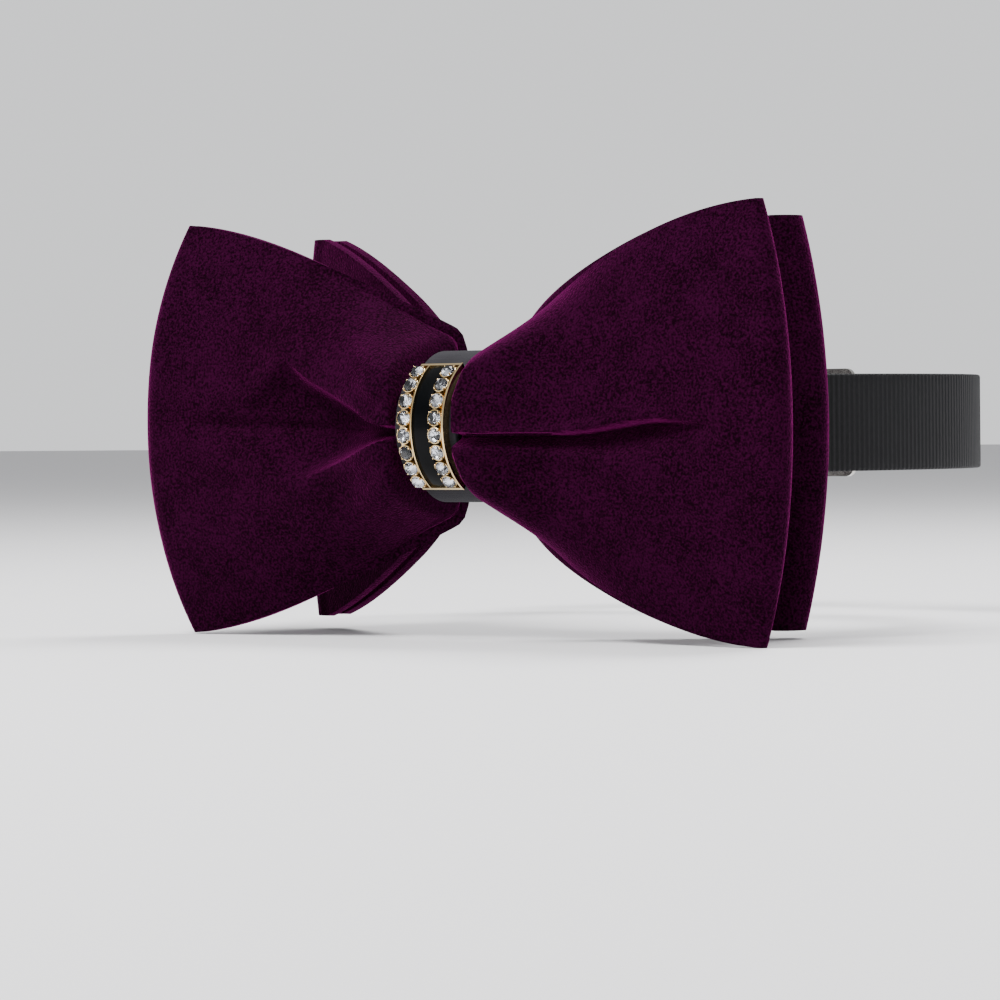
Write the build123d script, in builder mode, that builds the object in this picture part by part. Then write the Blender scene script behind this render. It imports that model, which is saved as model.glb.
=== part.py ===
"""A pre-tied two-tier velvet bow tie on an adjustable neck band, in millimetres.

The bow faces -Y, +Z is up and +X is to the right of someone facing the wearer.
The origin is the middle of the knot's flat back, which rests on the shirt collar.
"""
from build123d import *
from math import cos, radians, sin
import os

os.makedirs("parts", exist_ok=True)

# Knot: a band of plain cloth wrapped round the middle of the bow, seen from its side.
KNOT_WIDTH = 11.2
BAND_CLOTH = 0.9
NOSE_Y = -15.1            # centre of the knot's rounded front
NOSE_RADIUS = 9.5
NOSE_END = 78             # degrees up from straight ahead where the rounded front ends
KNOT_TOP = 11.2           # half the knot's height at the back
KNOT_TOP_Y = -6.5
KNOT_CORNER = 2.6
WAIST_GAP = 0.7           # room between the gathered velvet and the band
WAIST_BACK = -3.3

# Bows: front and rear, each a flattened loop of velvet drawn in at the waist.
# Each outline runs from its shoulder beside the knot over its crown to its corner.
FRONT_OUTLINE = [(6.5, 13.8), (26.0, 26.6), (54.6, 32.5)]
FRONT_BULGE = 59.3        # where the outer fold is widest, at mid-height
REAR_OUTLINE = [(6.5, 13.0), (24.0, 23.6), (47.0, 31.7)]
REAR_BULGE = 50.4
INTERLINING = 0.7
BINDING_THREAD = 0.5

# Ornament: an arched metal setting with two rows of stones either side of black enamel.
STONES_PER_ROW = 8
STONE_PITCH = 13.8        # degrees round the knot's nose
STONE_RADIUS = 1.05
ROW_X = 2.85
PLATE_TOP = NOSE_RADIUS + 0.8
SETTING_TOP = PLATE_TOP + 0.85
SEAT_DEPTH = 0.35         # how far each stone's ring is sunk into the plate
STONE_TOP = 11.85
ORNAMENT_HALF_WIDTH = 4.6
ORNAMENT_END = 61         # degrees up and down from straight ahead
END_BAR = 5.5             # degrees that each end bar covers
ENAMEL_HALF_WIDTH = 1.3
RAIL = 0.25

# Neck band: ribbon on edge, round in front and flatter across the nape.
RIBBON = 1.2
RIBBON_WIDTH = 15.0
FRONT_RADIUS = 49.0       # to the ribbon's neck side
BACK_RADIUS = 37.0
NAPE_X = FRONT_RADIUS - BACK_RADIUS
BAND_Y = FRONT_RADIUS - 1.4
LAYER_GAP = 1.9           # between the ribbon and its doubled-back end
WIRE = 0.8                # radius of the eye's wire
EYE_NEAR_X = -11.0
EYE_FAR_X = -1.5
EYE_Y = BAND_Y + BACK_RADIUS + RIBBON + LAYER_GAP / 2
TAIL_END = 176            # degrees from +X round the left nape centre
HEM = 9

front_centre = (0, BAND_Y)
left_nape = (-NAPE_X, BAND_Y)
right_nape = (NAPE_X, BAND_Y)


def finish(builder, name):
    """Label one finished piece and write it."""
    builder.part.label = name
    export_step(builder.part, f"parts/{name}.step")


def around(centre, radius, degrees):
    """A point on a circle, with degrees counted from the sketch's first axis."""
    return (
        centre[0] + radius * cos(radians(degrees)),
        centre[1] + radius * sin(radians(degrees)),
    )


def ring_sector(centre, inner, outer, start, sweep):
    """Add a piece of a flat ring to the open sketch."""
    with BuildLine() as outline:
        CenterArc(centre, inner, start, sweep)
        Line(around(centre, inner, start + sweep), around(centre, outer, start + sweep))
        CenterArc(centre, outer, start + sweep, -sweep)
        Line(around(centre, outer, start), around(centre, inner, start))
    make_face(outline.edges())


def nose_plane(degrees, radius, x=0):
    """A plane facing outwards from the knot's rounded front, degrees above straight ahead."""
    outward = Vector(0, -cos(radians(degrees)), sin(radians(degrees)))
    origin = Vector(x, NOSE_Y, 0) + outward * radius
    return Plane(origin=origin, x_dir=(1, 0, 0), z_dir=outward)


def knot_profile():
    """Add the knot's outline, seen from +X with Y across, to the open sketch."""
    nose = (NOSE_Y, 0)
    with BuildLine() as outline:
        for side in (1, -1):
            nose_end = around(nose, NOSE_RADIUS, 180 - side * NOSE_END)
            ThreePointArc(
                (NOSE_Y - NOSE_RADIUS, 0),
                around(nose, NOSE_RADIUS, 180 - side * NOSE_END / 2),
                nose_end,
            )
            Line(nose_end, (KNOT_TOP_Y, side * KNOT_TOP))
            Line((KNOT_TOP_Y, side * KNOT_TOP), (-KNOT_CORNER, side * KNOT_TOP))
            RadiusArc(
                (-KNOT_CORNER, side * KNOT_TOP),
                (0, side * (KNOT_TOP - KNOT_CORNER)),
                side * KNOT_CORNER,
            )
        Line((0, KNOT_TOP - KNOT_CORNER), (0, KNOT_CORNER - KNOT_TOP))
    make_face(outline.edges())


def bow_outline(shoulder, crown, corner, bulge):
    """Add a bow's outline, seen from the front with Z up, to the open sketch."""
    with BuildLine() as outline:
        for side in (1, -1):
            for level in (1, -1):
                edge = [(side * x, level * z) for x, z in (shoulder, crown, corner)]
                Line((0, level * shoulder[1]), edge[0])
                ThreePointArc(*edge)
            ThreePointArc(
                (side * corner[0], corner[1]), (side * bulge, 0), (side * corner[0], -corner[1])
            )
    make_face(outline.edges())


def bow_plan(front, back):
    """Add a bow's outline, seen from above, to the open sketch."""
    right = front + back[::-1]
    with BuildLine() as outline:
        Polyline(*right, *[(-x, y) for x, y in right[-2:0:-1]], close=True)
    make_face(outline.edges())


# What the bow's waist may fill inside the knot, and the block that trims it there.
with BuildSketch(Plane.YZ.offset(-KNOT_WIDTH / 2 - 0.4)) as waist_section:
    knot_profile()
    offset(amount=-BAND_CLOTH - WAIST_GAP)
    with Locations((WAIST_BACK + 20, 0)):
        Rectangle(40, 80, mode=Mode.SUBTRACT)

with BuildPart() as waist_trim:
    Box(KNOT_WIDTH + 0.8, 90, 90)
    extrude(waist_section.sketch, amount=KNOT_WIDTH + 0.8, mode=Mode.SUBTRACT)

# Stiff interlining inside each bow, one flat and one swept back.
PLAN_END = 62.0           # past both bows' outer folds
INSET = 4.0
INTERLINING_SHOULDER = (6.5, 10.0)

with BuildPart() as front_bow_interlining:
    with BuildSketch(Plane.XZ.offset(17.6 - INTERLINING / 2)):
        bow_outline(INTERLINING_SHOULDER, *FRONT_OUTLINE[1:], FRONT_BULGE)
        offset(amount=-INSET)
    extrude(amount=INTERLINING)
finish(front_bow_interlining, "front_bow_interlining")

rear_middle = [(0, -7.8), (8, -7.2), (20, -3.4), (34, 2.6), (46, 9.0)]
with BuildPart() as rear_bow_interlining:
    with BuildSketch(Plane.XZ):
        bow_outline(INTERLINING_SHOULDER, *REAR_OUTLINE[1:], REAR_BULGE)
        offset(amount=-INSET)
    extrude(amount=30, both=True)
    with BuildSketch(Plane.XY.offset(-40)):
        with BuildLine():
            right = [(x, y - INTERLINING / 2) for x, y in rear_middle]
            left = [(-x, y) for x, y in reversed(right[1:])]
            near = left + right
            far = [(x, y + INTERLINING) for x, y in reversed(near)]
            Polyline(*near, *far, close=True)
        make_face()
    extrude(amount=80, mode=Mode.INTERSECT)
finish(rear_bow_interlining, "rear_bow_interlining")

# Velvet of the front bow: the closed shape that its folded loop fills.
with BuildPart() as front_bow_velvet:
    with BuildSketch(Plane.XZ):
        bow_outline(*FRONT_OUTLINE, FRONT_BULGE)
    extrude(amount=40)
    with BuildSketch(Plane.XY.offset(-40)):
        bow_plan(
            front=[(0, -23.2), (22, -23.6), (40, -22.0), (PLAN_END, -20.0)],
            back=[(0, -12.4), (22, -12.8), (40, -13.8), (PLAN_END, -16.0)],
        )
    extrude(amount=80, mode=Mode.INTERSECT)
    add(waist_trim.part, mode=Mode.SUBTRACT)
    add(front_bow_interlining.part, mode=Mode.SUBTRACT)
finish(front_bow_velvet, "front_bow_velvet")

# Velvet of the rear bow, swept back towards the collar.
with BuildPart() as rear_bow_velvet:
    with BuildSketch(Plane.XZ):
        bow_outline(*REAR_OUTLINE, REAR_BULGE)
    extrude(amount=30, both=True)
    with BuildSketch(Plane.XY.offset(-40)):
        bow_plan(
            front=[(0, -12.0), (8, -11.3), (20, -7.5), (34, -1.4), (PLAN_END, 13.6)],
            back=[(0, -3.3), (8, -3.1), (20, 0.4), (34, 6.6), (PLAN_END, 21.6)],
        )
    extrude(amount=80, mode=Mode.INTERSECT)
    add(waist_trim.part, mode=Mode.SUBTRACT)
    add(rear_bow_interlining.part, mode=Mode.SUBTRACT)
finish(rear_bow_velvet, "rear_bow_velvet")

# Thread wound round both waists to hold the gathers.
BINDING_WIDTH = 3.0
with BuildPart() as waist_binding:
    with BuildSketch(Plane.YZ.offset(-BINDING_WIDTH / 2)):
        knot_profile()
        offset(amount=BINDING_THREAD - BAND_CLOTH - WAIST_GAP)
        with Locations((WAIST_BACK + BINDING_THREAD + 20, 0)):
            Rectangle(40, 80, mode=Mode.SUBTRACT)
    extrude(amount=BINDING_WIDTH)
    extrude(waist_section.sketch, amount=KNOT_WIDTH + 0.8, mode=Mode.SUBTRACT)
finish(waist_binding, "waist_binding")

# Knot band, pierced by the ornament's four prongs and bent round the waist.
PRONG = (0.6, 1.6)
PRONG_X = 3.4
PRONG_DEGREES = 30
PRONG_FOOT = 0.25
BAND_INSIDE = NOSE_RADIUS - BAND_CLOTH

prongs = []
for row, level in ((1, 1), (2, 1), (3, -1), (4, -1)):
    side = 1 if row % 2 else -1
    with BuildPart() as prong:
        with BuildSketch(nose_plane(level * PRONG_DEGREES, BAND_INSIDE, side * PRONG_X)):
            Rectangle(*PRONG)
        extrude(amount=BAND_CLOTH - 0.02)
        foot_x = side * (PRONG_X - 0.5)
        with BuildSketch(nose_plane(level * PRONG_DEGREES, BAND_INSIDE - PRONG_FOOT, foot_x)):
            Rectangle(PRONG[0] + 1.0, PRONG[1])
        extrude(amount=PRONG_FOOT)
    finish(prong, f"ornament_prong_{row}")
    prongs.append(prong.part)

with BuildPart() as knot_band:
    with BuildSketch(Plane.YZ.offset(-KNOT_WIDTH / 2)):
        knot_profile()
        offset(amount=-BAND_CLOTH, mode=Mode.SUBTRACT)
    extrude(amount=KNOT_WIDTH)
    for piece in prongs:
        add(piece, mode=Mode.SUBTRACT)
finish(knot_band, "knot_band")

# Slip stitches that close the band underneath.
with BuildPart() as knot_stitches:
    with BuildSketch(Plane.XY.offset(-KNOT_TOP)):
        with GridLocations(1.9, 0, 5, 1):
            with Locations((0, KNOT_TOP_Y + 1.6)):
                SlotOverall(1.3, 0.4, rotation=65)
    extrude(amount=-0.25)
finish(knot_stitches, "knot_stitches")

# Gold setting: arched plate, end bars, rails, and a ring for each stone.
stone_degrees = [(place - (STONES_PER_ROW - 1) / 2) * STONE_PITCH for place in range(STONES_PER_ROW)]
nose = (NOSE_Y, 0)

with BuildPart() as ornament_setting:
    with BuildSketch(Plane.YZ.offset(-ORNAMENT_HALF_WIDTH)):
        ring_sector(nose, NOSE_RADIUS, PLATE_TOP, 180 - ORNAMENT_END, 2 * ORNAMENT_END)
    extrude(amount=2 * ORNAMENT_HALF_WIDTH)
    with BuildSketch(Plane.YZ.offset(-ORNAMENT_HALF_WIDTH)):
        for start in (180 - ORNAMENT_END, 180 + ORNAMENT_END - END_BAR):
            ring_sector(nose, PLATE_TOP, SETTING_TOP + 0.15, start, END_BAR)
    extrude(amount=2 * ORNAMENT_HALF_WIDTH)
    for rail_x in (
        -ORNAMENT_HALF_WIDTH,
        -ENAMEL_HALF_WIDTH - RAIL,
        ENAMEL_HALF_WIDTH,
        ORNAMENT_HALF_WIDTH - RAIL,
    ):
        with BuildSketch(Plane.YZ.offset(rail_x)):
            ring_sector(nose, PLATE_TOP, SETTING_TOP, 180 - ORNAMENT_END, 2 * ORNAMENT_END)
        extrude(amount=RAIL)
    for side in (-1, 1):
        for degrees in stone_degrees:
            with BuildSketch(nose_plane(degrees, PLATE_TOP - SEAT_DEPTH, side * ROW_X)):
                Circle(STONE_RADIUS + 0.18)
                Circle(STONE_RADIUS, mode=Mode.SUBTRACT)
            extrude(amount=SETTING_TOP - PLATE_TOP + SEAT_DEPTH)
finish(ornament_setting, "ornament_setting")

# Black enamel between the rows.
with BuildPart() as ornament_enamel:
    with BuildSketch(Plane.YZ.offset(-ENAMEL_HALF_WIDTH)):
        enamel_end = ORNAMENT_END - END_BAR
        ring_sector(nose, PLATE_TOP, SETTING_TOP - 0.1, 180 - enamel_end, 2 * enamel_end)
    extrude(amount=2 * ENAMEL_HALF_WIDTH)
finish(ornament_enamel, "ornament_enamel")

# Sixteen round stones, each a girdle between a faceted cone's crown and point.
for side, side_name in ((-1, "left"), (1, "right")):
    for number, degrees in enumerate(stone_degrees, start=1):
        seat = nose_plane(degrees, PLATE_TOP, side * ROW_X)
        girdle = SETTING_TOP - PLATE_TOP
        top = STONE_TOP - PLATE_TOP
        with BuildPart() as crystal:
            with BuildSketch(Plane(seat.origin, x_dir=seat.z_dir, z_dir=seat.y_dir)):
                with BuildLine():
                    Polyline(
                        (0, 0),
                        (girdle - 0.15, STONE_RADIUS - 0.01),
                        (girdle + 0.05, STONE_RADIUS - 0.01),
                        (top, STONE_RADIUS * 0.6),
                        (top, 0),
                        close=True,
                    )
                make_face()
            revolve(axis=Axis(seat.origin, seat.z_dir))
        finish(crystal, f"crystal_{side_name}_{number}")

# Neck ribbon on the wearer's hook side: from the knot round to the nape.
STRAP_END = 86
with BuildPart() as neck_strap_fixed:
    with BuildSketch(Plane.XY.offset(-RIBBON_WIDTH / 2)):
        ring_sector(front_centre, FRONT_RADIUS, FRONT_RADIUS + RIBBON, 270, 90)
        ring_sector(right_nape, BACK_RADIUS, BACK_RADIUS + RIBBON, 0, STRAP_END)
    extrude(amount=RIBBON_WIDTH)
finish(neck_strap_fixed, "neck_strap_fixed")

# Neck ribbon on the other side: round the eye's wire and back on itself, with a hemmed tail.
layer_in = BACK_RADIUS + RIBBON + LAYER_GAP
layer_out = layer_in + RIBBON
fold = LAYER_GAP / 2
with BuildPart() as neck_strap_adjusting:
    with BuildSketch(Plane.XY.offset(-RIBBON_WIDTH / 2)):
        ring_sector(front_centre, FRONT_RADIUS, FRONT_RADIUS + RIBBON, 180, 90)
        ring_sector(left_nape, BACK_RADIUS, BACK_RADIUS + RIBBON, 90, 90)
        ring_sector(left_nape, layer_in, layer_out, 90, TAIL_END - 90)
        ring_sector(left_nape, layer_out, layer_out + RIBBON, TAIL_END - HEM, HEM)
        for level in (BACK_RADIUS, layer_in):
            with Locations((-NAPE_X, BAND_Y + level)):
                Rectangle(EYE_NEAR_X + NAPE_X, RIBBON, align=(Align.MIN, Align.MIN))
        ring_sector((EYE_NEAR_X, EYE_Y), fold, fold + RIBBON, -90, 180)
    extrude(amount=RIBBON_WIDTH)
finish(neck_strap_adjusting, "neck_strap_adjusting")

# Stitches across the tail's hem.
with BuildPart() as hem_stitches:
    for place in range(7):
        hem_plane = Plane(
            origin=(*around(left_nape, layer_out + RIBBON + 0.01, TAIL_END - 6.5), (place - 3) * 1.9),
            x_dir=(0, 0, 1),
            z_dir=(*around((0, 0), 1, TAIL_END - 6.5), 0),
        )
        with BuildSketch(hem_plane):
            SlotOverall(1.3, 0.4)
        extrude(amount=0.25)
finish(hem_stitches, "hem_stitches")

# Eye: a rectangle of wire held in the ribbon's fold.
with BuildPart() as strap_eye:
    length = EYE_FAR_X - EYE_NEAR_X
    with BuildSketch(Plane.XZ.offset(-EYE_Y - WIRE)):
        with Locations(((EYE_NEAR_X + EYE_FAR_X) / 2, 0)):
            RectangleRounded(length + 2 * WIRE, RIBBON_WIDTH + 4 * WIRE + 0.6, 1.8)
            RectangleRounded(length - 2 * WIRE, RIBBON_WIDTH + 0.6, 0.4, mode=Mode.SUBTRACT)
    extrude(amount=2 * WIRE)
    fillet(strap_eye.edges().filter_by(Plane.XZ), radius=WIRE - 0.05)
finish(strap_eye, "strap_eye")

# Hook: flat sheet metal curled round the eye's far wire, with a slot for the ribbon tab.
SHEET = 1.0
MOUTH = WIRE + 0.25
BLADE = 8.0
FRAME_X = (3.2, 11.0)
SLOT_X = (4.7, 9.5)
LIP_X = 1.4
sheet_y = EYE_Y - MOUTH - SHEET
with BuildPart() as strap_hook:
    with BuildSketch(Plane.XY.offset(-BLADE / 2)):
        ring_sector((EYE_FAR_X, EYE_Y), MOUTH, MOUTH + SHEET, 90, 180)
        with Locations((EYE_FAR_X, sheet_y)):
            Rectangle(FRAME_X[0] + 0.5 - EYE_FAR_X, SHEET, align=(Align.MIN, Align.MIN))
        with Locations((EYE_FAR_X, EYE_Y + MOUTH)):
            Rectangle(LIP_X - EYE_FAR_X, SHEET, align=(Align.MIN, Align.MIN))
    extrude(amount=BLADE)
    with BuildSketch(Plane.XZ.offset(-sheet_y - SHEET)):
        with Locations(((FRAME_X[0] + FRAME_X[1]) / 2, 0)):
            RectangleRounded(FRAME_X[1] - FRAME_X[0], RIBBON_WIDTH + 3.4, 1.5)
        with Locations(((SLOT_X[0] + SLOT_X[1]) / 2, 0)):
            RectangleRounded(SLOT_X[1] - SLOT_X[0], RIBBON_WIDTH + 0.4, 0.4, mode=Mode.SUBTRACT)
    extrude(amount=SHEET)
finish(strap_hook, "strap_hook")

# Short ribbon tab folded round the hook's bar, with the strap's end sewn between its layers.
TAB = 1.0
TAB_FOLD_X = 9.7
TAB_END = 64
tab_fold = RIBBON / 2
with BuildPart() as hook_tab:
    with BuildSketch(Plane.XY.offset(-RIBBON_WIDTH / 2)):
        ring_sector((TAB_FOLD_X, BAND_Y + BACK_RADIUS + tab_fold), tab_fold, tab_fold + TAB, 90, 180)
        for level in (BACK_RADIUS - TAB, BACK_RADIUS + RIBBON):
            with Locations((TAB_FOLD_X, BAND_Y + level)):
                Rectangle(NAPE_X - TAB_FOLD_X, TAB, align=(Align.MIN, Align.MIN))
            ring_sector(right_nape, level, level + TAB, TAB_END, 90 - TAB_END)
    extrude(amount=RIBBON_WIDTH)
finish(hook_tab, "hook_tab")

# Two rows of stitches through the tab.
with BuildPart() as tab_stitches:
    for degrees in (TAB_END + 2.5, TAB_END + 14):
        for place in range(7):
            stitch_plane = Plane(
                origin=(
                    *around(right_nape, BACK_RADIUS + RIBBON + TAB + 0.01, degrees),
                    (place - 3) * 1.9,
                ),
                x_dir=(0, 0, 1),
                z_dir=(*around((0, 0), 1, degrees), 0),
            )
            with BuildSketch(stitch_plane):
                SlotOverall(1.3, 0.4)
            extrude(amount=0.25)
finish(tab_stitches, "tab_stitches")

# Slide: a two-slot keeper round both layers, curved to run along them.
SLIDE_START = 146
SLIDE_SWEEP = 11
SLIDE_GAP = 0.2
CHEEK = 1.0
slide_in = BACK_RADIUS - SLIDE_GAP - 0.8
slide_out = layer_out + SLIDE_GAP + 0.8
slot_height = RIBBON_WIDTH + 2 * SLIDE_GAP
with BuildPart() as strap_slide:
    with BuildSketch(Plane.XY.offset(-slot_height / 2 - CHEEK)):
        ring_sector(left_nape, slide_in, slide_out, SLIDE_START, SLIDE_SWEEP)
    extrude(amount=slot_height + 2 * CHEEK)
    with BuildSketch(Plane.XY.offset(-slot_height / 2)):
        for inner in (BACK_RADIUS, layer_in):
            ring_sector(
                left_nape,
                inner - SLIDE_GAP,
                inner + RIBBON + SLIDE_GAP,
                SLIDE_START - 1,
                SLIDE_SWEEP + 2,
            )
    extrude(amount=slot_height, mode=Mode.SUBTRACT)
finish(strap_slide, "strap_slide")
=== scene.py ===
"""A two-tier velvet bow tie with a rhinestone ornament, dressed around its CAD frame."""

import bmesh
import bpy
import numpy as np
from math import cos, exp, pi, radians, sin
from mathutils import Matrix, Vector


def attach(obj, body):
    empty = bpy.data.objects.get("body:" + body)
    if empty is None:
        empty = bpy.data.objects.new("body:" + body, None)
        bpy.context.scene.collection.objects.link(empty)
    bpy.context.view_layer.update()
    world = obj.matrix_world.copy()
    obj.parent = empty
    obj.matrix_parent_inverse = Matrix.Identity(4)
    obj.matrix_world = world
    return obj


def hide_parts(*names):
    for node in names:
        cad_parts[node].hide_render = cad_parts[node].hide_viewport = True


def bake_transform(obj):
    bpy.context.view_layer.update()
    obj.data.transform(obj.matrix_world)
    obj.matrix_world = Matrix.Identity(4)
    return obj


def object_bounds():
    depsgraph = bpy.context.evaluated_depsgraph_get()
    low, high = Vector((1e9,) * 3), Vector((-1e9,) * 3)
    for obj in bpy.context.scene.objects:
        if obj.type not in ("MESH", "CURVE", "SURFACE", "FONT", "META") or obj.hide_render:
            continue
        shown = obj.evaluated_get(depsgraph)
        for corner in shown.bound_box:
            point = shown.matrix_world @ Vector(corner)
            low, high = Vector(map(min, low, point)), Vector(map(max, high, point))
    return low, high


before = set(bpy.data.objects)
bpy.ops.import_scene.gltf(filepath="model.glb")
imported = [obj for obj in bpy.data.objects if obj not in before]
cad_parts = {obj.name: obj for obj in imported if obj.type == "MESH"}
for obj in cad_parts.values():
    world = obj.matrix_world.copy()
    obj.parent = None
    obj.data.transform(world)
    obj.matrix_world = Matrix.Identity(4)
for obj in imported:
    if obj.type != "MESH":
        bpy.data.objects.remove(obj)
cad_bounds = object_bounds()
bpy.ops.object.select_all(action="DESELECT")
MM = 0.001

# ---------------------------------------------------------------- studio
# A pale table, a large soft window light from the left and above, a weaker one
# from the right and a strip behind that catches the pile along the folds.
floor_z = cad_bounds[0][2]
bpy.ops.mesh.primitive_plane_add(size=9.0, location=(0, 0, floor_z))
table_top = bpy.context.object
table_top.name = "table_top"


def linear(hex_colour):
    """An sRGB hex colour as the linear numbers that a shader socket takes."""
    values = [int(hex_colour[place:place + 2], 16) / 255 for place in (1, 3, 5)]
    return [v / 12.92 if v <= 0.04045 else ((v + 0.055) / 1.055) ** 2.4 for v in values] + [1.0]


def add_node(tree, kind, links=None, **settings):
    """Add one node. Settings name its attributes or its input sockets, links its inputs."""
    node = tree.nodes.new(kind)
    for name, value in settings.items():
        if hasattr(node, name):
            setattr(node, name, value)
        else:
            node.inputs[name.replace("_", " ")].default_value = value
    for name, source in (links or {}).items():
        tree.links.new(source, node.inputs[name])
    return node


def new_material(name):
    """An empty node material with its Principled shader and its object coordinates."""
    material = bpy.data.materials.new(name)
    material.use_nodes = True
    tree = material.node_tree
    shader = tree.nodes["Principled BSDF"]
    place = add_node(tree, "ShaderNodeTexCoord").outputs["Object"]
    return material, tree, shader, place


paper, tree, shader, place = new_material("matte_pale_paper")
shader.inputs["Base Color"].default_value = linear("#e9e8ea")
shader.inputs["Roughness"].default_value = 0.9
grain = add_node(tree, "ShaderNodeTexNoise", {"Vector": place}, Scale=900.0, Detail=2.0)
bump = add_node(tree, "ShaderNodeBump", {"Height": grain.outputs["Fac"]}, Strength=0.03)
bump.inputs["Distance"].default_value = 0.1 * MM
tree.links.new(bump.outputs["Normal"], shader.inputs["Normal"])
table_top.data.materials.append(paper)

world = bpy.data.worlds.new("studio_air")
bpy.context.scene.world = world
world.use_nodes = True
sky = world.node_tree
around = add_node(sky, "ShaderNodeTexCoord").outputs["Generated"]
upwards = add_node(sky, "ShaderNodeSeparateXYZ", {"Vector": around})
glow = add_node(sky, "ShaderNodeMapRange", {"Value": upwards.outputs["Z"]})
glow.inputs["From Min"].default_value = 0.12
glow.inputs["From Max"].default_value = 0.35
glow.inputs["To Min"].default_value = 1.15
glow.inputs["To Max"].default_value = 0.6
sky.nodes["Background"].inputs["Color"].default_value = linear("#f4f5f7")
sky.links.new(glow.outputs["Result"], sky.nodes["Background"].inputs["Strength"])

knot_middle = Vector((0, -0.0175, 0))
for name, azimuth, elevation, distance, size, power in (
    ("window_left", -15, 58, 0.9, 0.45, 14.0),
    ("fill_right", 85, 25, 1.0, 0.5, 2.0),
    ("strip_behind", 170, 60, 0.8, 0.35, 7.0),
):
    lamp = bpy.data.lights.new(name, "AREA")
    lamp.size = size
    lamp.energy = power
    a, e = radians(azimuth), radians(elevation)
    direction = Vector((sin(a) * cos(e), -cos(a) * cos(e), sin(e)))
    holder = bpy.data.objects.new(name, lamp)
    holder.location = knot_middle + direction * distance
    holder.rotation_euler = direction.to_track_quat("Z", "Y").to_euler()
    bpy.context.collection.objects.link(holder)

# The camera stands level with the knot, 620 mm off and well round to the right.
CAMERA_AZIMUTH = 35.5
CAMERA_DISTANCE = 0.620
PAN, TILT, ROLL = 0.658, 1.036, 0.6
camera_data = bpy.data.cameras.new("camera")
camera_data.lens = 147.3
camera_data.sensor_width = 36.0
camera_data.clip_start = 0.01
camera = bpy.data.objects.new("camera", camera_data)
bpy.context.collection.objects.link(camera)
a = radians(CAMERA_AZIMUTH)
camera.location = knot_middle + Vector((sin(a), -cos(a), 0)) * CAMERA_DISTANCE
turn = Matrix.Rotation(radians(CAMERA_AZIMUTH - PAN), 3, "Z")
turn = turn @ Matrix.Rotation(radians(90 - TILT), 3, "X") @ Matrix.Rotation(radians(-ROLL), 3, "Z")
camera.rotation_euler = turn.to_euler()
bpy.context.scene.camera = camera

# ---------------------------------------------------------------- velvet bows
# Each bow is one strip of plum silk-pile velvet sewn into a loop, pressed flat with
# a soft hairpin fold at each end, and gathered at the waist by the binding thread.

def smooth(t):
    """An even step from 0 to 1."""
    t = min(max(t, 0.0), 1.0)
    return t * t * (3 - 2 * t)


# How far out each wing's fold stands, on its right (1) and left (-1), and the fold's radius.
FRONT_END, FRONT_FOLD = {1: 58.3, -1: 57.2}, 2.0
REAR_END, REAR_FOLD = {1: 49.6, -1: 45.4}, 3.2
# How much further out a fold stands at its middle than at its corners.
FRONT_BOWED, REAR_BOWED = {1: 2.9, -1: 4.3}, 3.0
# How far forward each front panel lies, and how much further it swells beside the knot.
FRONT_FACE = {1: (-20.4, 6.2), -1: (-21.3, 4.4)}
# The cloth starts hidden in the knot, at half its waist height, and is free past the band.
START_X, WAIST_HALF, BAND_EDGE_X, FREE_X = 2.0, 8.3, 5.3, 7.0
# Gathers that radiate from the waist: how many, how deep, their phase and their reach.
GATHERS = {
    1: ((2.6, 0.8, 0.4, 12.0), (5.1, 0.5, 2.1, 8.0), (9.3, 0.25, 0.9, 5.0)),
    -1: ((3.2, 0.8, 1.4, 13.0), (5.7, 0.5, 0.3, 8.0), (8.9, 0.25, 2.6, 5.0)),
}


def near_waist(x, reach):
    """1 at the waist, fading over a reach in millimetres once the cloth is free."""
    return exp(-max(x - FREE_X, 0.0) / reach)


def half_height(x, corner_x, corner_z, shoulder, power):
    """Half a bow's height, x millimetres from its middle: pinched in the knot, then flaring."""
    out = (corner_x - min(x, corner_x)) / (corner_x - 6.5)
    free = shoulder + (corner_z - shoulder) * (1 - out ** power)
    return WAIST_HALF + (free - WAIST_HALF) * smooth((x - BAND_EDGE_X) / 2.2)


def panel_side(x):
    """Where a front panel's two edges lie, and how square its curve between them is."""
    near = near_waist(x, 13.0)
    return -16.9 + 9.4 * near, 2.2 + 2.6 * near


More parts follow.
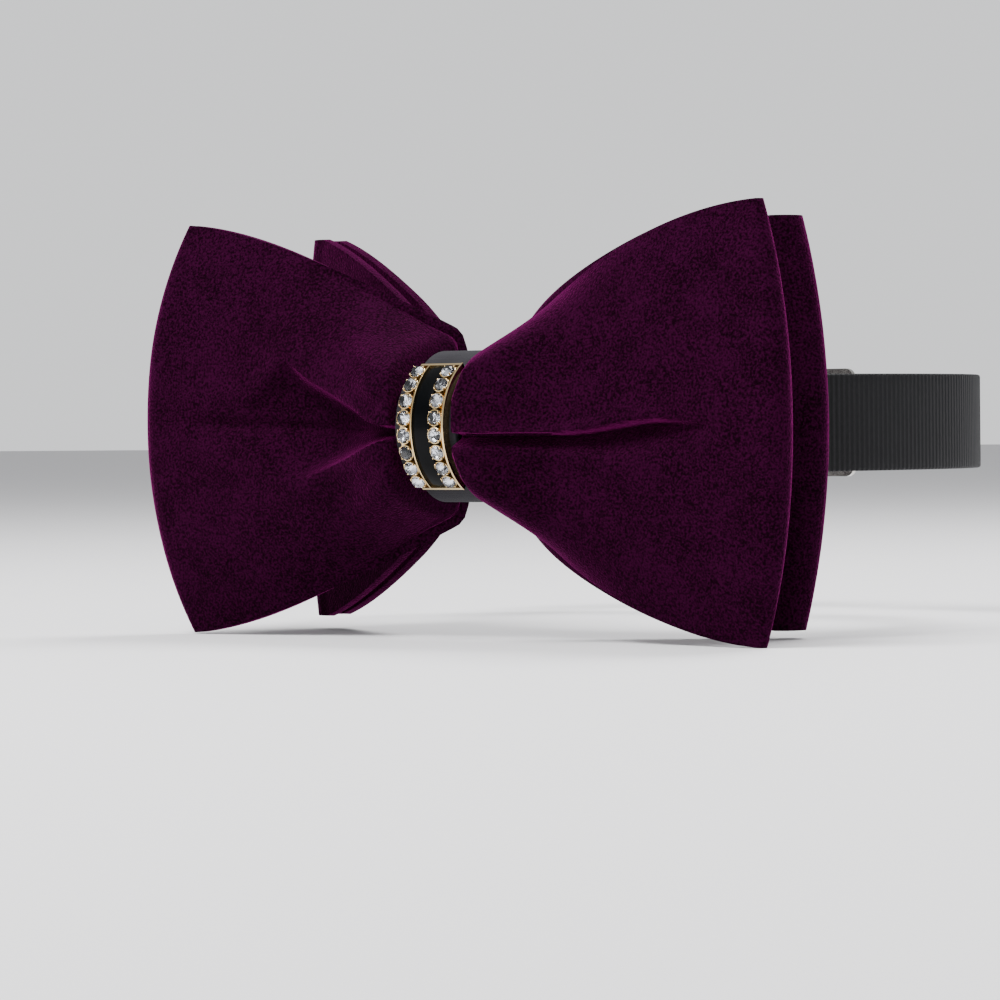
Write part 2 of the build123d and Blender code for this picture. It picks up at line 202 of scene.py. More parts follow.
def mouth(side, x, z):
    """How far the velvet dips in where the gathers meet in one crease, and how far its lip hangs."""
    clear = smooth((x - 6) / 6)
    if side > 0:
        # One long slit with its lips nearly shut, open in a pocket further out.
        line = -1.6 + 0.025 * (x - 8)
        line += 0.9 * exp(-((x - 37) / 7.0) ** 2) - 0.4 * exp(-((x - 22) / 6.0) ** 2)
        pocket = exp(-((x - 34) / 8.0) ** 2)
        up, down = 0.7 + 0.01 * x + 0.9 * pocket, 1.2 + 0.06 * x + 1.8 * pocket
        depth = (3.3 + 0.4 * pocket) * (1 - smooth((x - 35) / 15))
        hang = 0.3 + 0.8 * pocket
    else:
        # Two lips that part in a wedge, then close on a shallow tuck.
        line = -0.7 + 0.045 * (x - 8)
        wedge = min(max(x - 7.4, 0), 22)
        tuck = 2.5 * smooth((x - 26) / 10)
        up = 1.0 + 0.44 * wedge * (1 - smooth((x - 27) / 10)) + tuck
        down = 1.2 + 0.38 * wedge * (1 - smooth((x - 25) / 12)) + tuck
        depth = 3.6 * (1 - smooth((x - 20) / 20)) + 0.6 * (1 - smooth((x - 40) / 12))
        hang = 0.9 * (1 - smooth((x - 24) / 6))
    away = z - line
    t = away / up if away > 0 else -away / down
    lip = exp(-((t - 1.15) / 0.5) ** 2)
    fade = 1 - smooth((x - 26) / 18)
    if t >= 1:
        steep = 0.0
    elif side > 0:
        steep = 1 - t ** 3 if away > 0 else (1 - t) ** 1.25
    else:
        steep = 1 - t ** (4 if away > 0 else 3)
    dip = depth * steep - (0.75 if away > 0 else 0.45) * fade * lip * clear
    if side < 0:
        dip += exp(-(away / 0.9) ** 2) * (1 - smooth((x - 42) / 10)) * smooth((x - 8) / 10)
    drop = hang * exp(-((t - 1.0) / 0.7) ** 2) * clear if away > 0 else 0.0
    return dip, drop


def front_bow_point(side, s, v, back):
    """A point on the front bow: s runs from the waist to the outer fold, v from -1 to 1 up it."""
    reach = FRONT_END[side] - FRONT_FOLD - FRONT_BOWED[side] * v * v - START_X
    x = START_X + reach * s ** 1.5
    z = half_height(x, 54.6, 32.5, 13.6, 1.75) * v
    loose = smooth((x - 4.9) / 1.3)
    # Seen from the side, the panel wraps round the waist near the knot and lies flat at the fold.
    edge, squareness = panel_side(x)
    calm, swell = FRONT_FACE[side]
    nose = calm - swell * exp(-((x - 7.5) / 8.5) ** 2)
    nose = -22.3 + (nose + 22.3) * loose
    puff = 1 - abs(v) ** squareness
    if back:
        y = -14.4 + (edge + 1.6 + 14.4) * abs(v) ** 3
        return side * x, max(y, edge + 1.2 if abs(v) > 0.9 else y), z
    y = edge + (nose - edge) * puff
    dip, drop = mouth(side, x, z)
    y += dip * loose
    z -= drop
    for count, amount, phase, fades_over in GATHERS[side]:
        fade = near_waist(x, fades_over) * (1 - v * v) * smooth((x - 6.0) / 5.0)
        y -= amount * cos(count * pi * v + phase) * fade
    y -= 0.5 * sin(x * 0.12 + 2.3 * v + side) * s * (1 - s * 0.6)
    return side * x, y, z


def rear_bow_point(side, s, v, back):
    """A point on the rear bow, laid out as front_bow_point lays out the front one."""
    reach = REAR_END[side] - REAR_FOLD - REAR_BOWED * v * v - START_X
    x = START_X + reach * s ** 1.3
    z = half_height(x, 46.0, 31.4, 12.4, 1.6) * v
    middle = -7.6 + 17.4 * (max(x - 4.0, 0.0) / 44.0) ** 1.35
    spread = REAR_FOLD * (0.5 + 0.5 * smooth((x - 6.0) / 12.0))
    puff = 1 - abs(v) ** 2.2
    y = middle + (spread + 0.4 * puff if back else -spread - 0.7 * puff * (1 - s))
    gather = cos(5.3 * v * pi + side) * smooth((x - BAND_EDGE_X) / 2)
    y -= 0.5 * near_waist(x, 9.0) * gather
    return side * x, y, z


def cloth_loop(name, point, columns, rows, inside, thickness):
    """Lay a grid round a bow: along its front, round one fold, back along it and round the other.

    The cloth lies inside the bow's own face by a distance in millimetres.
    """
    bends = 10
    path = [(-1, 1 - place / columns, "front") for place in range(columns + 1)]
    path += [(1, place / columns, "front") for place in range(1, columns + 1)]
    path += [(1, place / bends, "fold") for place in range(1, bends)]
    path += [(1, 1 - place / columns, "back") for place in range(columns + 1)]
    path += [(-1, place / columns, "back") for place in range(1, columns + 1)]
    path += [(-1, 1 - place / bends, "fold") for place in range(1, bends)]
    across = len(path)
    bpy.ops.mesh.primitive_grid_add(x_subdivisions=across, y_subdivisions=rows, size=1)
    loop = bpy.context.object
    loop.name = name
    work = bmesh.new()
    work.from_mesh(loop.data)
    for vertex in work.verts:
        column = round((vertex.co.x + 0.5) * across)
        v = vertex.co.y * 2
        side, s, part = path[column % across]
        if part == "fold":
            front = Vector(point(side, 1.0, v, False))
            rear = Vector(point(side, 1.0, v, True))
            radius = (rear - front) / 2
            out = Vector((side * radius.length, 0, 0))
            vertex.co = (front + rear) / 2 - radius * cos(pi * s) + out * sin(pi * s)
        else:
            vertex.co = Vector(point(side, s, v, part == "back"))
        vertex.co *= MM
    bmesh.ops.remove_doubles(work, verts=work.verts, dist=0.001 * MM)
    bmesh.ops.recalc_face_normals(work, faces=work.faces)
    foremost = min(work.faces, key=lambda face: face.calc_center_median().y)
    if foremost.normal.y > 0:
        bmesh.ops.reverse_faces(work, faces=work.faces)
    work.normal_update()
    moves = [vertex.normal * inside * MM for vertex in work.verts]
    for vertex, move in zip(work.verts, moves):
        vertex.co -= move
    work.to_mesh(loop.data)
    work.free()
    thick = loop.modifiers.new("cloth", "SOLIDIFY")
    thick.thickness = thickness * MM
    thick.offset = -1.0
    rim = loop.modifiers.new("soft_edge", "BEVEL")
    rim.width = 0.35 * thickness * MM
    rim.segments = 3
    rim.limit_method = "ANGLE"
    rim.angle_limit = radians(50)
    for modifier in ("cloth", "soft_edge"):
        bpy.ops.object.modifier_apply(modifier=modifier)
    bpy.ops.object.shade_smooth()
    return loop


PILE = 1.5               # cloth with its pile, in millimetres
front_bow = cloth_loop("front_bow", front_bow_point, 72, 132, 0.0, PILE)
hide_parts("front_bow_velvet")
rear_bow = cloth_loop("rear_bow", rear_bow_point, 60, 96, 0.0, PILE)
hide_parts("rear_bow_velvet")


# Dyed silk-and-viscose velvet: the upright pile drinks light face on and glows at grazing
# angles, and it leans in patches, which mottles it.
velvet, tree, shader, place = new_material("dyed_pile_velvet")
patches = add_node(tree, "ShaderNodeTexNoise", {"Vector": place}, Scale=160.0, Detail=2.0)
flecks = add_node(tree, "ShaderNodeTexNoise", {"Vector": place}, Scale=2800.0, Detail=2.0)
both = add_node(
    tree, "ShaderNodeMix", {"A": flecks.outputs["Fac"], "B": patches.outputs["Fac"]}, Factor=0.2
)
ramp = add_node(tree, "ShaderNodeValToRGB", {"Fac": both.outputs["Result"]})
ramp.color_ramp.elements[0].position = 0.39
ramp.color_ramp.elements[0].color = linear("#0d0108")
ramp.color_ramp.elements[1].position = 0.61
ramp.color_ramp.elements[1].color = linear("#2a0320")
tree.links.new(ramp.outputs["Color"], shader.inputs["Base Color"])
shader.inputs["Roughness"].default_value = 0.85
shader.inputs["Specular IOR Level"].default_value = 0.01
shader.inputs["Sheen Weight"].default_value = 0.62
shader.inputs["Sheen Roughness"].default_value = 0.31
shader.inputs["Sheen Tint"].default_value = linear("#b81e90")
height = add_node(
    tree, "ShaderNodeMath",
    {0: flecks.outputs["Fac"], 1: patches.outputs["Fac"]}, operation="ADD",
)
bump = add_node(tree, "ShaderNodeBump", {"Height": height.outputs[0]}, Strength=0.5)
bump.inputs["Distance"].default_value = 0.4 * MM
tree.links.new(bump.outputs["Normal"], shader.inputs["Normal"])
for bow, height_mm, around_mm in ((front_bow, 65.0, 244.0), (rear_bow, 62.8, 202.0)):
    bow.data.materials.clear()
    bow.data.materials.append(velvet)
    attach(bow, "tie")

# ---------------------------------------------------------------- interlining
# A stiff fusible cloth inside each velvet loop keeps it flared. It is cut short of the
# loop's two edges and bridges the crease behind the velvet.

def cloth(name, light, dark, thread_mm, roughness):
    """A fine plain-woven cloth, in two tones that its slubs mix."""
    material, tree, shader, place = new_material(name)
    # One wave covers two threads. At a scale of 1 a wave turns through 20 radians in a metre.
    wave_scale = 2 * pi / 20 / (2 * thread_mm * MM)
    weave = []
    for axis in ("X", "Y", "Z"):
        wave = add_node(tree, "ShaderNodeTexWave", {"Vector": place}, bands_direction=axis)
        wave.inputs["Scale"].default_value = wave_scale
        wave.inputs["Distortion"].default_value = 0.6
        weave.append(wave.outputs["Fac"])
    first = add_node(tree, "ShaderNodeMath", {0: weave[0], 1: weave[1]}, operation="MULTIPLY")
    both = add_node(tree, "ShaderNodeMath", {0: first.outputs[0], 1: weave[2]}, operation="ADD")
    slub = add_node(tree, "ShaderNodeTexNoise", {"Vector": place}, Scale=300.0, Detail=4.0)
    ramp = add_node(tree, "ShaderNodeValToRGB", {"Fac": slub.outputs["Fac"]})
    ramp.color_ramp.elements[0].color = linear(dark)
    ramp.color_ramp.elements[1].color = linear(light)
    tree.links.new(ramp.outputs["Color"], shader.inputs["Base Color"])
    shader.inputs["Roughness"].default_value = roughness
    shader.inputs["Specular IOR Level"].default_value = 0.15
    shader.inputs["Sheen Weight"].default_value = 0.05
    bump = add_node(tree, "ShaderNodeBump", {"Height": both.outputs[0]}, Strength=0.5)
    bump.inputs["Distance"].default_value = 0.08 * MM
    tree.links.new(bump.outputs["Normal"], shader.inputs["Normal"])
    return material


def lining_cut(x):
    """How much of the bow's height the lining fills: less where the bow narrows."""
    x = abs(x)
    return 0.87 - 0.11 * near_waist(x, 13.0) - 0.2 * exp(-((x - FREE_X) / 3.0) ** 2)


def front_lining_point(side, s, v, back):
    """The front bow's lining: the velvet's line without its crease and gathers, set inwards."""
    cut = lining_cut(front_bow_point(side, s, v, True)[0])
    v *= cut
    x, y, z = front_bow_point(side, s, v, True)
    if not back:
        edge, squareness = panel_side(abs(x))
        nose = -17.2 - exp(-((abs(x) - 8.0) / 9.0) ** 2)
        y = edge + (nose - edge) * (1 - abs(v) ** squareness)
    return x, y, z


def rear_lining_point(side, s, v, back):
    """The rear bow's lining."""
    x = rear_bow_point(side, s, v, back)[0]
    return rear_bow_point(side, s, v * (lining_cut(x) + 0.05), back)


LINING_CLOTH = 0.4
front_lining = cloth_loop(
    "front_bow_lining", front_lining_point, 60, 60, PILE + 0.05, LINING_CLOTH
)
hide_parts("front_bow_interlining")
rear_lining = cloth_loop(
    "rear_bow_lining", rear_lining_point, 60, 48, PILE + 0.1, LINING_CLOTH
)
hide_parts("rear_bow_interlining")
# Fused cotton interlining, dyed dark: flat and matt, seen only down the bow's open ends.
lining_cloth = cloth("fused_interlining", "#14030f", "#0a0208", 0.15, 0.9)
for lining, height_mm, around_mm in ((front_lining, 52.0, 232.0), (rear_lining, 53.0, 194.0)):
    lining.data.materials.clear()
    lining.data.materials.append(lining_cloth)
    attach(lining, "tie")

# ---------------------------------------------------------------- knot band
# A strip of charcoal worsted with its edges turned in, wrapped tight round the waist
# and closed underneath with slip stitches.
# Its round nose reaches to an angle each side of straight ahead, and a shoulder takes over.
NOSE_Y, NOSE_RADIUS, NOSE_END = -15.1, 9.5, 75
SHOULDER_Y, SHOULDER_Z, SHOULDER_RADIUS, SHOULDER_SWEEP = -11.5, 3.2, 8.4, 46
KNOT_HALF_WIDTH, KNOT_TOP, KNOT_CORNER = 5.6, 11.2, 2.6


def on_circle(centre, radius, start, sweep, count):
    """Evenly spaced points along an arc."""
    angles = [radians(start + sweep * place / count) for place in range(count + 1)]
    return [(centre[0] + radius * cos(a), centre[1] + radius * sin(a)) for a in angles]


def evenly(points, count):
    """The same line with its points spaced evenly."""
    points = np.array(points)
    walked = np.concatenate([[0], np.cumsum(np.linalg.norm(np.diff(points, axis=0), axis=1))])
    stops = np.linspace(0, walked[-1], count)
    line = np.stack([np.interp(stops, walked, points[:, axis]) for axis in (0, 1)], axis=1)
    return line, walked[-1]


def cloth_strip(name, line, half_width, thickness, columns, upright=True):
    """A woven strip that follows a line: upright ribbon in plan, or a band seen from its side."""
    count = len(line)
    bpy.ops.mesh.primitive_grid_add(x_subdivisions=count - 1, y_subdivisions=columns, size=1)
    strip = bpy.context.object
    strip.name = name
    for vertex in strip.data.vertices:
        place = round((vertex.co.x + 0.5) * (count - 1))
        across = vertex.co.y * 2
        a, b = line[place]
        if upright:
            vertex.co = Vector((a, b, across * half_width)) * MM
        else:
            vertex.co = Vector((across * half_width, a, b)) * MM
    thick = strip.modifiers.new("cloth", "SOLIDIFY")
    thick.thickness = thickness * MM
    thick.offset = 0.0
    rim = strip.modifiers.new("turned_edge", "BEVEL")
    rim.width = 0.3 * thickness * MM
    rim.segments = 2
    rim.limit_method = "ANGLE"
    rim.angle_limit = radians(50)
    for modifier in ("cloth", "turned_edge"):
        bpy.ops.object.modifier_apply(modifier=modifier)
    bpy.ops.object.shade_smooth()
    return strip


def finish_strip(strip, material, body, stands_for):
    """Give a strip its cloth and its body, and hide the CAD part it stands for."""
    strip.data.materials.clear()
    strip.data.materials.append(material)
    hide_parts(stands_for)
    if body:
        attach(strip, body)


BAND_CLOTH = 0.9
inset = BAND_CLOTH / 2
nose = (NOSE_Y, 0.0)
outline = on_circle(nose, NOSE_RADIUS - inset, 180 + NOSE_END, -2 * NOSE_END, 48)
shoulder = SHOULDER_RADIUS - inset
outline += on_circle(
    (SHOULDER_Y, SHOULDER_Z), shoulder, 90 + SHOULDER_SWEEP, -SHOULDER_SWEEP, 12
)
corner = KNOT_CORNER - inset
outline += on_circle((-KNOT_CORNER, KNOT_TOP - KNOT_CORNER), corner, 90, -90, 10)
outline += on_circle((-KNOT_CORNER, KNOT_CORNER - KNOT_TOP), corner, 0, -90, 10)
outline += on_circle((SHOULDER_Y, -SHOULDER_Z), shoulder, 270, -SHOULDER_SWEEP, 12)
outline.append(outline[0])
line, around = evenly(outline, 141)
knot_wrap = cloth_strip("knot_wrap", line, KNOT_HALF_WIDTH, BAND_CLOTH, 14, upright=False)
# Charcoal worsted wool, pressed: an even matt grey whose weave only just shows.
worsted = cloth("worsted_band_cloth", "#2a292e", "#161519", 0.09, 0.85)
finish_strip(
    knot_wrap, worsted, "tie",
    "knot_band",
)

# ---------------------------------------------------------------- neck band ribbons
# Black grosgrain ribbon, 15 mm wide: one length from the knot to the hook's tab, the
# other round the eye and back along itself to a hemmed tail that the slide holds.
# The band runs round a wide circle in front and a tighter one on each side of the nape.
RIBBON, HALF_RIBBON, LAYER_GAP = 1.2, 7.5, 1.9
FRONT_RADIUS, BACK_RADIUS = 49.0, 37.0
NAPE_X = FRONT_RADIUS - BACK_RADIUS
BAND_Y = FRONT_RADIUS - 1.4
EYE_NEAR_X = -11.0
TAIL_END, HEM = 176, 8.5          # degrees round the back circle
middle = RIBBON / 2

# Woven polyester grosgrain: close cross ribs that catch a dull light along their tops.
grosgrain, tree, shader, place = new_material("black_grosgrain")
centred = add_node(tree, "ShaderNodeMapping", {"Vector": place})
centred.inputs["Location"].default_value = (0, -BAND_Y * MM, 0)
turn_round = add_node(tree, "ShaderNodeTexGradient", {"Vector": centred.outputs[0]})
turn_round.gradient_type = "RADIAL"
RIB_PITCH = 0.9          # millimetres from rib to rib
ribs = add_node(tree, "ShaderNodeMath", {0: turn_round.outputs["Fac"]}, operation="MULTIPLY")
ribs.inputs[1].default_value = 2 * pi * round(2 * pi * FRONT_RADIUS / RIB_PITCH)
ribs = add_node(tree, "ShaderNodeMath", {0: ribs.outputs[0]}, operation="SINE")
fuzz = add_node(tree, "ShaderNodeTexNoise", {"Vector": place}, Scale=1500.0, Detail=3.0)
rise = add_node(
    tree, "ShaderNodeMath", {0: ribs.outputs[0], 1: fuzz.outputs["Fac"]}, operation="ADD"
)
shade = add_node(tree, "ShaderNodeValToRGB", {"Fac": fuzz.outputs["Fac"]})
shade.color_ramp.elements[0].color = linear("#060608")
shade.color_ramp.elements[1].color = linear("#111114")
tree.links.new(shade.outputs["Color"], shader.inputs["Base Color"])
shader.inputs["Roughness"].default_value = 0.62
shader.inputs["Specular IOR Level"].default_value = 0.2
bump = add_node(tree, "ShaderNodeBump", {"Height": rise.outputs[0]}, Strength=0.6)
bump.inputs["Distance"].default_value = 0.12 * MM
tree.links.new(bump.outputs["Normal"], shader.inputs["Normal"])

route = on_circle((0, BAND_Y), FRONT_RADIUS + middle, 270, 90, 60)
route += on_circle((NAPE_X, BAND_Y), BACK_RADIUS + middle, 0, 86, 50)[1:]
line, length = evenly(route, 150)
hook_side = cloth_strip("ribbon_hook_side", line, HALF_RIBBON, RIBBON, 8)
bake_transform(hook_side)
finish_strip(
    hook_side, grosgrain, None,
    "neck_strap_fixed",
)

fold = LAYER_GAP / 2 + middle
eye_y = BAND_Y + BACK_RADIUS + RIBBON + LAYER_GAP / 2
outer_layer = BACK_RADIUS + RIBBON + LAYER_GAP + middle
route = on_circle((0, BAND_Y), FRONT_RADIUS + middle, 270, -90, 60)
route += on_circle((-NAPE_X, BAND_Y), BACK_RADIUS + middle, 180, -90, 50)[1:]
route += on_circle((EYE_NEAR_X, eye_y), fold, -90, 180, 16)
route += on_circle((-NAPE_X, BAND_Y), outer_layer, 90, TAIL_END - 90, 60)
route += on_circle((-NAPE_X, BAND_Y), outer_layer + RIBBON, TAIL_END - 0.5, -HEM, 10)
line, length = evenly(route, 420)
# A touch thinner than the hem's pitch, so the turned hem stays clear of what it lies on.
eye_side = cloth_strip("ribbon_eye_side", line, HALF_RIBBON, RIBBON * 0.96, 8)
finish_strip(
    eye_side, grosgrain, "tie",
    "neck_strap_adjusting",
)

TAB, TAB_FOLD_X, TAB_END = 1.0, 9.7, 64
tab_fold = RIBBON / 2 + TAB / 2
nape = (NAPE_X, BAND_Y)
route = on_circle(nape, BACK_RADIUS - TAB / 2, TAB_END, 90 - TAB_END, 20)
route += on_circle((TAB_FOLD_X, BAND_Y + BACK_RADIUS + RIBBON / 2), tab_fold, 270, -180, 16)
route += on_circle(nape, BACK_RADIUS + RIBBON + TAB / 2, 90, TAB_END - 90, 20)
line, length = evenly(route, 110)
tab = cloth_strip("ribbon_hook_tab", line, HALF_RIBBON, TAB, 8)
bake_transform(tab)
finish_strip(
    tab, grosgrain, None,
    "hook_tab",
)

# ---------------------------------------------------------------- thread
# Black spun polyester: the binding round both waists, the slip stitches under the band
# and the rows that hold the ribbon's hem and the hook's tab.

def dress(material, *nodes):
    """Give CAD nodes their material."""
    for node in nodes:
        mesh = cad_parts[node].data
        mesh.materials.clear()
        mesh.materials.append(material)


# Spun polyester thread: matt and a little hairy, so it stays dark.
dress(
    cloth("spun_sewing_thread", "#18181b", "#0c0c0e", 0.15, 0.7),
    "waist_binding", "knot_stitches", "hem_stitches", "tab_stitches",
)


# ---------------------------------------------------------------- ornament setting
# Die-cast and plated pale gold: an arched back plate, a polished wall on one side, thin
# wires across both ends, and a cup with four claws for each stone.

def metal(name, colour, roughness):
    """Plated metal with faint polishing scratches."""
    material, tree, shader, place = new_material(name)
    shader.inputs["Base Color"].default_value = linear(colour)
    shader.inputs["Metallic"].default_value = 1.0
    rub = add_node(tree, "ShaderNodeTexNoise", {"Vector": place}, Scale=800.0, Detail=5.0)
    spread = add_node(tree, "ShaderNodeMapRange", {"Value": rub.outputs["Fac"]})
    spread.inputs["To Min"].default_value = roughness * 0.6
    spread.inputs["To Max"].default_value = roughness * 1.5
    tree.links.new(spread.outputs["Result"], shader.inputs["Roughness"])
    bump = add_node(tree, "ShaderNodeBump", {"Height": rub.outputs["Fac"]}, Strength=0.1)
    bump.inputs["Distance"].default_value = 0.02 * MM
    tree.links.new(bump.outputs["Normal"], shader.inputs["Normal"])
    return material


# Angles are in degrees from straight ahead, and heights are radii from the nose's middle.
ORNAMENT_END, STONE_PITCH, END_WIRE = 59.5, 13.8, 2.6
PLATE_BACK, PLATE_TOP, CUP_TOP = NOSE_RADIUS + 0.02, 10.1, 11.15
WALL_TOP, RAIL_TOP, WIRE_FOOT = CUP_TOP - 0.05, CUP_TOP - 0.1, PLATE_TOP - 0.05
STONES_IN_ROW, ROW_X = 8, 2.85
PLATE_HALF, WALL_OUTSIDE, WIRE_FROM = 4.15, 4.45, -3.2
RAIL_OUTSIDE, RAIL_INSIDE = -1.62, -1.42
# Thin pale gold over brass, tumbled bright: its edges flash.
gold = metal("pale_gold_plate", "#e6cb98", 0.16)


def arched_bar(x_low, x_high, low, high, start, end):
    """Spin a small rectangle round the knot's nose, between two angles from straight ahead."""
    bpy.ops.object.select_all(action="DESELECT")
    bpy.ops.mesh.primitive_plane_add(size=1)
    bar = bpy.context.object
    tilt = radians(180 - end)
    for vertex in bar.data.vertices:
        radius = low if vertex.co.y < 0 else high
        x = x_low if vertex.co.x < 0 else x_high
        vertex.co = Vector((x, NOSE_Y + radius * cos(tilt), radius * sin(tilt))) * MM
    steps = max(3, round(abs(end - start) / 2.5))
    bpy.ops.object.mode_set(mode="EDIT")
    bpy.ops.mesh.select_all(action="SELECT")
    bpy.ops.mesh.spin(
        steps=steps, angle=radians(start - end), center=(0, NOSE_Y * MM, 0), axis=(1, 0, 0)
    )
    bpy.ops.mesh.select_all(action="SELECT")
    bpy.ops.mesh.remove_doubles(threshold=0.001 * MM)
    bpy.ops.mesh.normals_make_consistent(inside=False)
    bpy.ops.object.mode_set(mode="OBJECT")
    return bar


setting_parts = [
    arched_bar(x_low, x_high, low, high, start, end)
    for x_low, x_high, low, high, start, end in (
        # The plate, the wall, the rail beside the enamel and the two end wires.
        (-PLATE_HALF, PLATE_HALF, PLATE_BACK, PLATE_TOP, -ORNAMENT_END, ORNAMENT_END),
        (PLATE_HALF, WALL_OUTSIDE, PLATE_BACK, WALL_TOP, -ORNAMENT_END, ORNAMENT_END),
        (RAIL_OUTSIDE, RAIL_INSIDE, PLATE_TOP, RAIL_TOP, -ORNAMENT_END, ORNAMENT_END),
        (WIRE_FROM, WALL_OUTSIDE, WIRE_FOOT, RAIL_TOP, ORNAMENT_END - END_WIRE, ORNAMENT_END),
        (WIRE_FROM, WALL_OUTSIDE, WIRE_FOOT, RAIL_TOP, -ORNAMENT_END, END_WIRE - ORNAMENT_END),
    )
]


def nose_matrix(degrees, radius, x):
    """Stand a piece on the knot's nose: its own Z points straight out."""
    a = radians(degrees)
    out = Vector((0, -cos(a), sin(a)))
    across = Vector((1, 0, 0))
    turned = Matrix((across, out.cross(across), out)).transposed().to_4x4()
    place = Vector((x, NOSE_Y, 0)) + out * radius
    return Matrix.Translation(place * MM) @ turned


CUP_RADIUS, CUP_DEPTH, CUP_WALL, CUP_RIM = 1.27, 1.35, 0.16, 0.04
CLAW, CLAW_CIRCLE, CLAW_RISE = 0.17, 1.13, 0.1
cup_height = CUP_TOP - PLATE_TOP
bpy.ops.object.select_all(action="DESELECT")
bpy.ops.mesh.primitive_cylinder_add(
    vertices=20, radius=CUP_RADIUS * MM, depth=CUP_DEPTH * MM, end_fill_type="NOTHING",
    location=(0, 0, (cup_height - CUP_DEPTH / 2) * MM),
)
cup = bpy.context.object
bpy.ops.object.transform_apply(location=True)
wall = cup.modifiers.new("wall", "SOLIDIFY")
wall.thickness = CUP_WALL * MM
rim = cup.modifiers.new("rim", "BEVEL")
rim.width = CUP_RIM * MM
rim.limit_method = "ANGLE"
for modifier in ("wall", "rim"):
    bpy.ops.object.modifier_apply(modifier=modifier)
claws = []
for quarter in range(4):
    turn_at = pi / 4 + quarter * pi / 2
    spot = Vector((CLAW_CIRCLE * cos(turn_at), CLAW_CIRCLE * sin(turn_at), cup_height + CLAW_RISE))
    bpy.ops.mesh.primitive_uv_sphere_add(
        segments=10, ring_count=6, radius=CLAW * MM, location=spot * MM, scale=(1, 1, 1.5)
    )
    bpy.ops.object.transform_apply(location=True, scale=True)
    claws.append(bpy.context.object)
for claw in claws:
    claw.select_set(True)
cup.select_set(True)
bpy.context.view_layer.objects.active = cup
bpy.ops.object.join()
stone_degrees = [(n - (STONES_IN_ROW - 1) / 2) * STONE_PITCH for n in range(STONES_IN_ROW)]
for side in (-1, 1):
    for degrees in stone_degrees:
        seat = cup.copy()
        seat.data = cup.data.copy()
        seat.data.transform(nose_matrix(degrees, PLATE_TOP, side * ROW_X))
        bpy.context.collection.objects.link(seat)
        setting_parts.append(seat)
bpy.data.objects.remove(cup)
bpy.ops.object.select_all(action="DESELECT")
for part in setting_parts:
    part.select_set(True)
bpy.context.view_layer.objects.active = setting_parts[0]
bpy.ops.object.join()
setting = bpy.context.object
setting.name = "gold_setting"
bpy.ops.object.shade_smooth_by_angle(angle=radians(35))
setting.data.materials.clear()
setting.data.materials.append(gold)
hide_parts("ornament_setting")
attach(setting, "tie")
dress(gold, *[f"ornament_prong_{n}" for n in (1, 2, 3, 4)])

# ---------------------------------------------------------------- eye, hook and slide
# Nickel-plated steel: the eye is bent from wire, and the hook and slide from sheet. The
# slide grips the ribbon's two layers, and the hook drops into the eye at the nape.
# Bright nickel: a clean grey mirror with faint polishing marks.
dress(metal("nickel_plate", "#b9b7b1", 0.2), "strap_eye", "strap_hook", "strap_slide")

# ---------------------------------------------------------------- enamel strip
# Black enamel flooded between the two rows of cups, from end wire to end wire, then stoved
# and polished. It stands lower than the stones and is a little crowned across.
ENAMEL_END, ENAMEL_TOP = ORNAMENT_END - END_WIRE, CUP_TOP - 0.45
ENAMEL_MIDDLE, ENAMEL_CROWN = 0.1, 0.12
strip = arched_bar(RAIL_INSIDE, -RAIL_OUTSIDE, PLATE_TOP, ENAMEL_TOP, -ENAMEL_END, ENAMEL_END)
strip.name = "enamel_strip"
bpy.ops.object.mode_set(mode="EDIT")
bpy.ops.mesh.select_all(action="SELECT")
bpy.ops.mesh.bisect(plane_co=(ENAMEL_MIDDLE * MM, 0, 0), plane_no=(1, 0, 0))
bpy.ops.object.mode_set(mode="OBJECT")
for vertex in strip.data.vertices:
    outwards = Vector((0, vertex.co.y - NOSE_Y * MM, vertex.co.z))
    in_middle = abs(vertex.co.x - ENAMEL_MIDDLE * MM) < 0.01 * MM
    if in_middle and outwards.length > (PLATE_TOP + 0.2) * MM:
        vertex.co += outwards.normalized() * ENAMEL_CROWN * MM
bpy.ops.object.shade_smooth_by_angle(angle=radians(40))
# Stoved black enamel, polished: very dark, with one soft highlight along its length.
enamel, tree, shader, place = new_material("polished_black_enamel")
shader.inputs["Base Color"].default_value = linear("#020304")
shader.inputs["Specular IOR Level"].default_value = 0.08
ripple = add_node(tree, "ShaderNodeTexNoise", {"Vector": place}, Scale=220.0, Detail=1.0)
spread = add_node(tree, "ShaderNodeMapRange", {"Value": ripple.outputs["Fac"]})
spread.inputs["To Min"].default_value = 0.12
spread.inputs["To Max"].default_value = 0.3
tree.links.new(spread.outputs["Result"], shader.inputs["Roughness"])
strip.data.materials.clear()
strip.data.materials.append(enamel)
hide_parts("ornament_enamel")
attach(strip, "tie")

# ---------------------------------------------------------------- stones
# Machine-cut glass chatons, 2.2 mm across: a clear crown over a cone silvered with foil,
# whose facets throw back light in some places and stay dark in others.
# Lead glass: clear and sharp-edged, so its facets break up the view of the foil, whose glints are
# also painted into the foil's colour.
clear, tree, shader, place = new_material("cut_clear_glass")
shader.inputs["Base Color"].default_value = linear("#fbfcff")
shader.inputs["Roughness"].default_value = 0.0
shader.inputs["IOR"].default_value = 1.6
shader.inputs["Transmission Weight"].default_value = 1.0
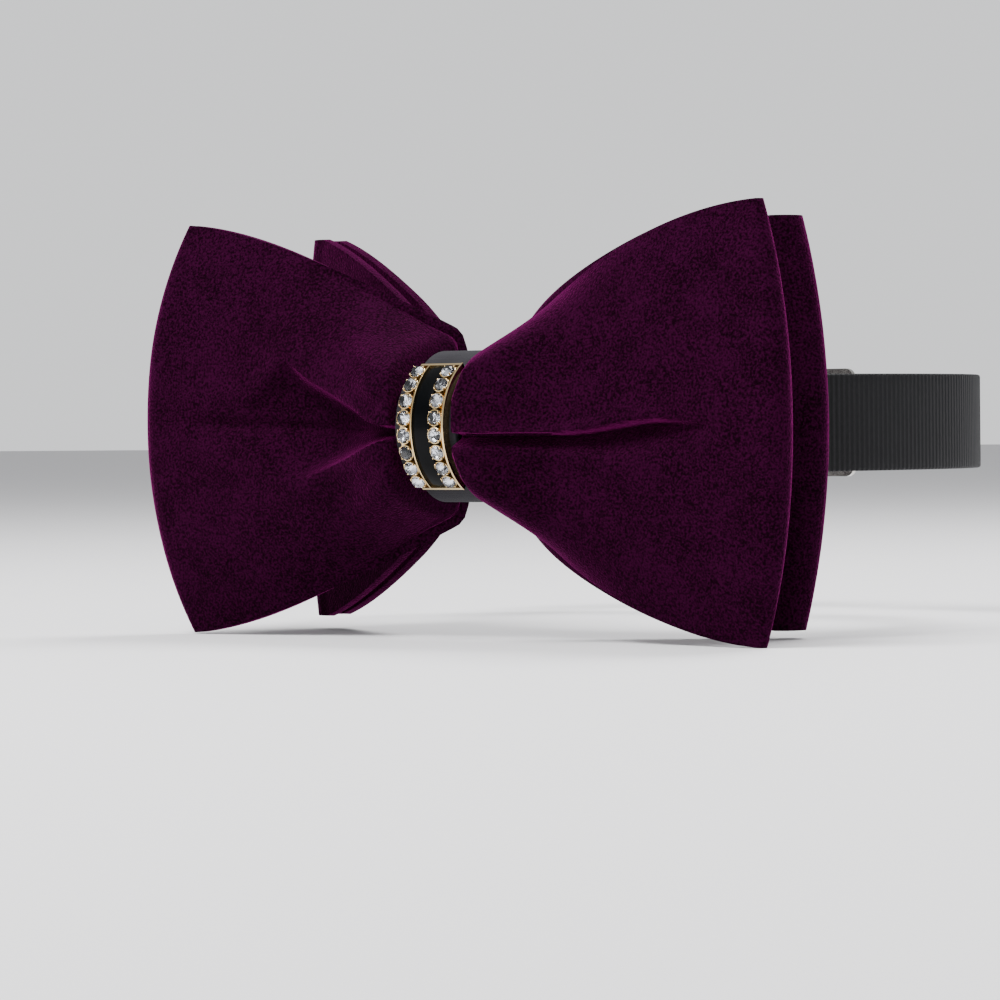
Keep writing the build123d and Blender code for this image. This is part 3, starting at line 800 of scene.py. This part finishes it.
# Silver foil with painted glints: its colour is painted in cells, some white as if a facet threw
# back light and some near black as if it stayed dark.
foil, tree, shader, place = new_material("silver_foil_painted_glints")
cells = add_node(tree, "ShaderNodeTexVoronoi", {"Vector": place}, Scale=1500.0)
painted_glints = add_node(tree, "ShaderNodeValToRGB", {"Fac": cells.outputs["Color"]})
painted_glints.color_ramp.elements[0].position = 0.42
painted_glints.color_ramp.elements[0].color = linear("#191b20")
painted_glints.color_ramp.elements[1].position = 0.6
painted_glints.color_ramp.elements[1].color = linear("#f4f6fa")
tree.links.new(painted_glints.outputs["Color"], shader.inputs["Base Color"])
shader.inputs["Metallic"].default_value = 1.0
shader.inputs["Roughness"].default_value = 0.12
STONE, GIRDLE = 1.12, 0.08
# Each step of the cut: how far it rises, how much it narrows and how far it turns.
CROWN = ((0.32, 0.82, 15), (0.22, 0.68, 15))
PAVILION = ((0.4, 0.52, 15), (0.36, 0.04, 0))
bpy.ops.object.select_all(action="DESELECT")
bpy.ops.mesh.primitive_cylinder_add(
    vertices=12, radius=STONE * MM, depth=GIRDLE * MM, end_fill_type="NGON"
)
cut = bpy.context.object
bpy.ops.object.mode_set(mode="EDIT")
bpy.ops.mesh.select_mode(type="FACE")
for steps, way in ((CROWN, 1), (PAVILION, -1)):
    bpy.ops.mesh.select_all(action="DESELECT")
    work = bmesh.from_edit_mesh(cut.data)
    for face in work.faces:
        face.select_set(face.normal.z * way > 0.9)
    bmesh.update_edit_mesh(cut.data)
    for rise, narrow, turn in steps:
        bpy.ops.mesh.extrude_region_move(
            TRANSFORM_OT_translate={"value": (0, 0, way * rise * MM)}
        )
        bpy.ops.transform.resize(value=(narrow, narrow, 1), center_override=(0, 0, 0))
        bpy.ops.transform.rotate(
            value=radians(turn), orient_axis="Z", center_override=(0, 0, 0)
        )
bpy.ops.mesh.select_all(action="SELECT")
bpy.ops.mesh.quads_convert_to_tris()
bpy.ops.mesh.normals_make_consistent(inside=False)
bpy.ops.object.mode_set(mode="OBJECT")
cut.data.materials.append(clear)
cut.data.materials.append(foil)
for face in cut.data.polygons:
    if face.center.z < -0.6 * GIRDLE * MM:
        face.material_index = 1
for side, side_name in ((-1, "left"), (1, "right")):
    for number, degrees in enumerate(stone_degrees, start=1):
        stone = cut.copy()
        stone.name = f"stone_{side_name}_{number}"
        stone.data = cut.data.copy()
        # No two neighbours are set with their facets the same way round.
        turned = Matrix.Rotation(radians(23 * number + 11 * side), 4, "Z")
        stone.data.transform(nose_matrix(degrees, CUP_TOP, side * ROW_X) @ turned)
        bpy.context.collection.objects.link(stone)
        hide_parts(f"crystal_{side_name}_{number}")
        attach(stone, "tie")
bpy.data.objects.remove(cut)
